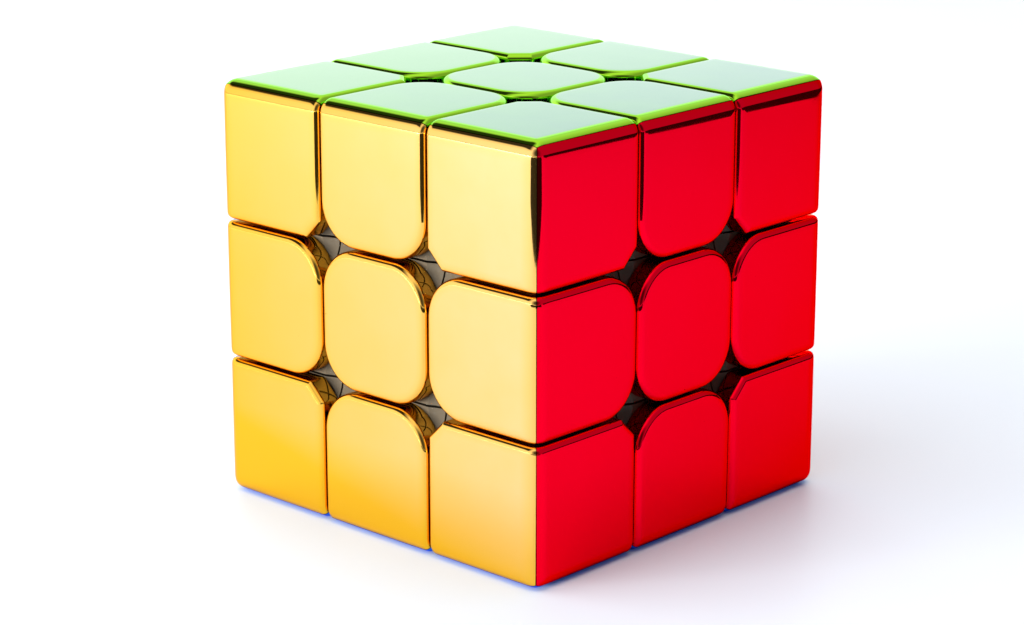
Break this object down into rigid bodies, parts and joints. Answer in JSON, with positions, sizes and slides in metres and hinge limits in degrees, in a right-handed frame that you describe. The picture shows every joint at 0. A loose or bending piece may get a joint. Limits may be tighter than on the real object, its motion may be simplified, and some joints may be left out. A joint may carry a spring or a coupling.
{
  "type": "mirror-plated twist cube",
  "caption": "Three-layer twist puzzle cube with mirror-plated caps, one colour per face, on hooked bodies that turn round a sprung core.",
  "frame": {"origin": "middle of the cube, which is the middle of its core", "axes": "+Z out of the green top face, -Y out of the gold front face, +X out of the red right face"},
  "size_m": [0.057, 0.057, 0.057],
  "materials": {
    "gold_plating": "mirror-bright coloured plating over plastic",
    "red_plating": "mirror-bright coloured plating over plastic",
    "green_plating": "mirror-bright coloured plating over plastic",
    "blue_plating": "mirror-bright coloured plating over plastic",
    "silver_plating": "mirror-bright coloured plating over plastic",
    "orange_plating": "mirror-bright coloured plating over plastic",
    "plated_caps": "mirror-bright plating over plastic; each cap takes the colour of its face",
    "dark_body": "moulded dark grey plastic, satin",
    "core_plastic": "moulded plastic",
    "screw_steel": "zinc-plated steel",
    "spring_steel": "drawn spring wire"
  },
  "bodies": {
    "core": {"core": "core_plastic", "tension_screws": "screw_steel"},
    "up_spring": {"up_spring": "spring_steel"},
    "up_centre": {"up_centre_base": "dark_body", "up_centre_cap": "green_plating"},
    "down_spring": {"down_spring": "spring_steel"},
    "down_centre": {"down_centre_base": "dark_body", "down_centre_cap": "blue_plating"},
    "front_spring": {"front_spring": "spring_steel"},
    "front_centre": {"front_centre_base": "dark_body", "front_centre_cap": "gold_plating"},
    "back_spring": {"back_spring": "spring_steel"},
    "back_centre": {"back_centre_base": "dark_body", "back_centre_cap": "orange_plating"},
    "right_spring": {"right_spring": "spring_steel"},
    "right_centre": {"right_centre_base": "dark_body", "right_centre_cap": "red_plating"},
    "left_spring": {"left_spring": "spring_steel"},
    "left_centre": {"left_centre_base": "dark_body", "left_centre_cap": "silver_plating"},
    "edge_up_front": {"edge_up_front_body": "dark_body", "edge_up_front_caps": "plated_caps"},
    "edge_up_back": {"edge_up_back_body": "dark_body", "edge_up_back_caps": "plated_caps"},
    "edge_up_right": {"edge_up_right_body": "dark_body", "edge_up_right_caps": "plated_caps"},
    "edge_up_left": {"edge_up_left_body": "dark_body", "edge_up_left_caps": "plated_caps"},
    "edge_down_front": {"edge_down_front_body": "dark_body", "edge_down_front_caps": "plated_caps"},
    "edge_down_back": {"edge_down_back_body": "dark_body", "edge_down_back_caps": "plated_caps"},
    "edge_down_right": {"edge_down_right_body": "dark_body", "edge_down_right_caps": "plated_caps"},
    "edge_down_left": {"edge_down_left_body": "dark_body", "edge_down_left_caps": "plated_caps"},
    "edge_front_right": {"edge_front_right_body": "dark_body", "edge_front_right_caps": "plated_caps"},
    "edge_front_left": {"edge_front_left_body": "dark_body", "edge_front_left_caps": "plated_caps"},
    "edge_back_right": {"edge_back_right_body": "dark_body", "edge_back_right_caps": "plated_caps"},
    "edge_back_left": {"edge_back_left_body": "dark_body", "edge_back_left_caps": "plated_caps"},
    "corner_up_front_right": {"corner_up_front_right_body": "dark_body", "corner_up_front_right_caps": "plated_caps"},
    "corner_up_front_left": {"corner_up_front_left_body": "dark_body", "corner_up_front_left_caps": "plated_caps"},
    "corner_up_back_right": {"corner_up_back_right_body": "dark_body", "corner_up_back_right_caps": "plated_caps"},
    "corner_up_back_left": {"corner_up_back_left_body": "dark_body", "corner_up_back_left_caps": "plated_caps"},
    "corner_down_front_right": {"corner_down_front_right_body": "dark_body", "corner_down_front_right_caps": "plated_caps"},
    "corner_down_front_left": {"corner_down_front_left_body": "dark_body", "corner_down_front_left_caps": "plated_caps"},
    "corner_down_back_right": {"corner_down_back_right_body": "dark_body", "corner_down_back_right_caps": "plated_caps"},
    "corner_down_back_left": {"corner_down_back_left_body": "dark_body", "corner_down_back_left_caps": "plated_caps"}
  },
  "joints": [
    {"name": "up_face_turn", "type": "hinge", "parent": "core", "child": "up_spring", "pos_m": [0, 0, 0], "axis": [0, 0, 1], "continuous": true},
    {"name": "up_centre_give", "type": "slide", "parent": "up_spring", "child": "up_centre", "axis": [0, 0, 1], "range_m": [0, 0.0006], "stiffness_N_per_m": 800, "springref_m": -0.002, "deforming": ["up_spring"]},
    {"name": "down_face_turn", "type": "hinge", "parent": "core", "child": "down_spring", "pos_m": [0, 0, 0], "axis": [0, 0, -1], "continuous": true},
    {"name": "down_centre_give", "type": "slide", "parent": "down_spring", "child": "down_centre", "axis": [0, 0, -1], "range_m": [0, 0.0006], "stiffness_N_per_m": 800, "springref_m": -0.002, "deforming": ["down_spring"]},
    {"name": "front_face_turn", "type": "hinge", "parent": "core", "child": "front_spring", "pos_m": [0, 0, 0], "axis": [0, -1, 0], "continuous": true},
    {"name": "front_centre_give", "type": "slide", "parent": "front_spring", "child": "front_centre", "axis": [0, -1, 0], "range_m": [0, 0.0006], "stiffness_N_per_m": 800, "springref_m": -0.002, "deforming": ["front_spring"]},
    {"name": "back_face_turn", "type": "hinge", "parent": "core", "child": "back_spring", "pos_m": [0, 0, 0], "axis": [0, 1, 0], "continuous": true},
    {"name": "back_centre_give", "type": "slide", "parent": "back_spring", "child": "back_centre", "axis": [0, 1, 0], "range_m": [0, 0.0006], "stiffness_N_per_m": 800, "springref_m": -0.002, "deforming": ["back_spring"]},
    {"name": "right_face_turn", "type": "hinge", "parent": "core", "child": "right_spring", "pos_m": [0, 0, 0], "axis": [1, 0, 0], "continuous": true},
    {"name": "right_centre_give", "type": "slide", "parent": "right_spring", "child": "right_centre", "axis": [1, 0, 0], "range_m": [0, 0.0006], "stiffness_N_per_m": 800, "springref_m": -0.002, "deforming": ["right_spring"]},
    {"name": "left_face_turn", "type": "hinge", "parent": "core", "child": "left_spring", "pos_m": [0, 0, 0], "axis": [-1, 0, 0], "continuous": true},
    {"name": "left_centre_give", "type": "slide", "parent": "left_spring", "child": "left_centre", "axis": [-1, 0, 0], "range_m": [0, 0.0006], "stiffness_N_per_m": 800, "springref_m": -0.002, "deforming": ["left_spring"]},
    {"name": "edge_up_front_with_front_face", "type": "hinge", "parent": "up_spring", "child": "edge_up_front", "pos_m": [0, 0, 0], "axis": [0, -1, 0], "continuous": true},
    {"name": "edge_up_back_with_back_face", "type": "hinge", "parent": "up_spring", "child": "edge_up_back", "pos_m": [0, 0, 0], "axis": [0, 1, 0], "continuous": true},
    {"name": "edge_up_right_with_right_face", "type": "hinge", "parent": "up_spring", "child": "edge_up_right", "pos_m": [0, 0, 0], "axis": [1, 0, 0], "continuous": true},
    {"name": "edge_up_left_with_left_face", "type": "hinge", "parent": "up_spring", "child": "edge_up_left", "pos_m": [0, 0, 0], "axis": [-1, 0, 0], "continuous": true},
    {"name": "edge_down_front_with_down_face", "type": "hinge", "parent": "front_spring", "child": "edge_down_front", "pos_m": [0, 0, 0], "axis": [0, 0, -1], "continuous": true},
    {"name": "edge_down_back_with_down_face", "type": "hinge", "parent": "back_spring", "child": "edge_down_back", "pos_m": [0, 0, 0], "axis": [0, 0, -1], "continuous": true},
    {"name": "edge_down_right_with_down_face", "type": "hinge", "parent": "right_spring", "child": "edge_down_right", "pos_m": [0, 0, 0], "axis": [0, 0, -1], "continuous": true},
    {"name": "edge_down_left_with_down_face", "type": "hinge", "parent": "left_spring", "child": "edge_down_left", "pos_m": [0, 0, 0], "axis": [0, 0, -1], "continuous": true},
    {"name": "edge_front_right_with_right_face", "type": "hinge", "parent": "front_spring", "child": "edge_front_right", "pos_m": [0, 0, 0], "axis": [1, 0, 0], "continuous": true},
    {"name": "edge_front_left_with_front_face", "type": "hinge", "parent": "left_spring", "child": "edge_front_left", "pos_m": [0, 0, 0], "axis": [0, -1, 0], "continuous": true},
    {"name": "edge_back_right_with_back_face", "type": "hinge", "parent": "right_spring", "child": "edge_back_right", "pos_m": [0, 0, 0], "axis": [0, 1, 0], "continuous": true},
    {"name": "edge_back_left_with_left_face", "type": "hinge", "parent": "back_spring", "child": "edge_back_left", "pos_m": [0, 0, 0], "axis": [-1, 0, 0], "continuous": true},
    {"name": "corner_up_front_right_with_right_face", "type": "hinge", "parent": "edge_up_front", "child": "corner_up_front_right", "pos_m": [0, 0, 0], "axis": [1, 0, 0], "continuous": true},
    {"name": "corner_up_front_left_with_left_face", "type": "hinge", "parent": "edge_up_front", "child": "corner_up_front_left", "pos_m": [0, 0, 0], "axis": [-1, 0, 0], "continuous": true},
    {"name": "corner_up_back_right_with_right_face", "type": "hinge", "parent": "edge_up_back", "child": "corner_up_back_right", "pos_m": [0, 0, 0], "axis": [1, 0, 0], "continuous": true},
    {"name": "corner_up_back_left_with_left_face", "type": "hinge", "parent": "edge_up_back", "child": "corner_up_back_left", "pos_m": [0, 0, 0], "axis": [-1, 0, 0], "continuous": true},
    {"name": "corner_down_front_right_with_right_face", "type": "hinge", "parent": "edge_down_front", "child": "corner_down_front_right", "pos_m": [0, 0, 0], "axis": [1, 0, 0], "continuous": true},
    {"name": "corner_down_front_left_with_left_face", "type": "hinge", "parent": "edge_down_front", "child": "corner_down_front_left", "pos_m": [0, 0, 0], "axis": [-1, 0, 0], "continuous": true},
    {"name": "corner_down_back_right_with_right_face", "type": "hinge", "parent": "edge_down_back", "child": "corner_down_back_right", "pos_m": [0, 0, 0], "axis": [1, 0, 0], "continuous": true},
    {"name": "corner_down_back_left_with_left_face", "type": "hinge", "parent": "edge_down_back", "child": "corner_down_back_left", "pos_m": [0, 0, 0], "axis": [-1, 0, 0], "continuous": true}
  ],
  "couplings": [
    {"joint": "edge_up_front_with_front_face", "follows": "front_face_turn", "ratio": 1},
    {"joint": "edge_up_back_with_back_face", "follows": "back_face_turn", "ratio": 1},
    {"joint": "edge_up_right_with_right_face", "follows": "right_face_turn", "ratio": 1},
    {"joint": "edge_up_left_with_left_face", "follows": "left_face_turn", "ratio": 1},
    {"joint": "edge_down_front_with_down_face", "follows": "down_face_turn", "ratio": 1},
    {"joint": "edge_down_back_with_down_face", "follows": "down_face_turn", "ratio": 1},
    {"joint": "edge_down_right_with_down_face", "follows": "down_face_turn", "ratio": 1},
    {"joint": "edge_down_left_with_down_face", "follows": "down_face_turn", "ratio": 1},
    {"joint": "edge_front_right_with_right_face", "follows": "right_face_turn", "ratio": 1},
    {"joint": "edge_front_left_with_front_face", "follows": "front_face_turn", "ratio": 1},
    {"joint": "edge_back_right_with_back_face", "follows": "back_face_turn", "ratio": 1},
    {"joint": "edge_back_left_with_left_face", "follows": "left_face_turn", "ratio": 1},
    {"joint": "corner_up_front_right_with_right_face", "follows": "right_face_turn", "ratio": 1},
    {"joint": "corner_up_front_left_with_left_face", "follows": "left_face_turn", "ratio": 1},
    {"joint": "corner_up_back_right_with_right_face", "follows": "right_face_turn", "ratio": 1},
    {"joint": "corner_up_back_left_with_left_face", "follows": "left_face_turn", "ratio": 1},
    {"joint": "corner_down_front_right_with_right_face", "follows": "right_face_turn", "ratio": 1},
    {"joint": "corner_down_front_left_with_left_face", "follows": "left_face_turn", "ratio": 1},
    {"joint": "corner_down_back_right_with_right_face", "follows": "right_face_turn", "ratio": 1},
    {"joint": "corner_down_back_left_with_left_face", "follows": "left_face_turn", "ratio": 1}
  ]
}
